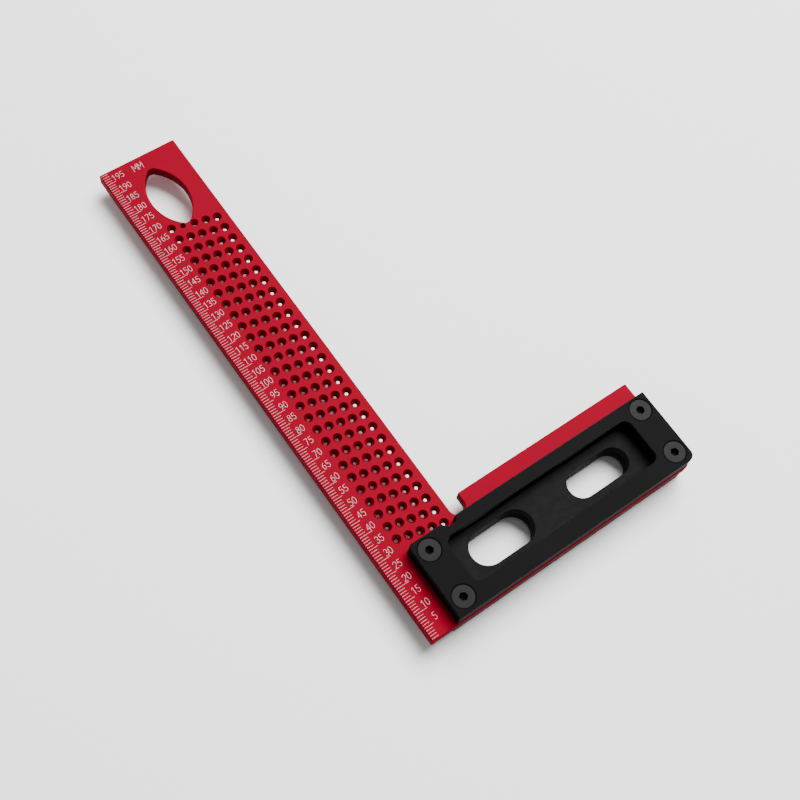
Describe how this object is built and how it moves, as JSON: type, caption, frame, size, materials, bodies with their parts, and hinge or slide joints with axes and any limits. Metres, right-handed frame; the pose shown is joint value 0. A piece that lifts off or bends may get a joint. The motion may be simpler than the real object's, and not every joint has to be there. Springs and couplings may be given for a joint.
{
  "type": "marking square",
  "caption": "Fixed L-shaped marking square: flat plate with a millimetre blade and rows of scribing holes, clamped in a slotted two-part stock by countersunk screws.",
  "frame": {"origin": "middle of the whole object's box in X and Y, at the lowest face, which is the lower stock's underside", "axes": "+Y along the blade towards its free end, +X along the stock away from the blade, +Z out of the numbered face"},
  "size_m": [0.108, 0.2, 0.016],
  "materials": {
    "plate_red": "red anodised, fine satin",
    "stock_black": "black anodised, satin",
    "screw_steel": "dark oxide, satin",
    "mark_white": "white filled marks"
  },
  "bodies": {
    "root": {"square_plate": "plate_red", "upper_stock": "stock_black", "lower_stock": "stock_black", "screw_blade_front": "screw_steel", "screw_blade_back": "screw_steel", "screw_end_front": "screw_steel", "screw_end_back": "screw_steel"}
  },
  "joints": []
}
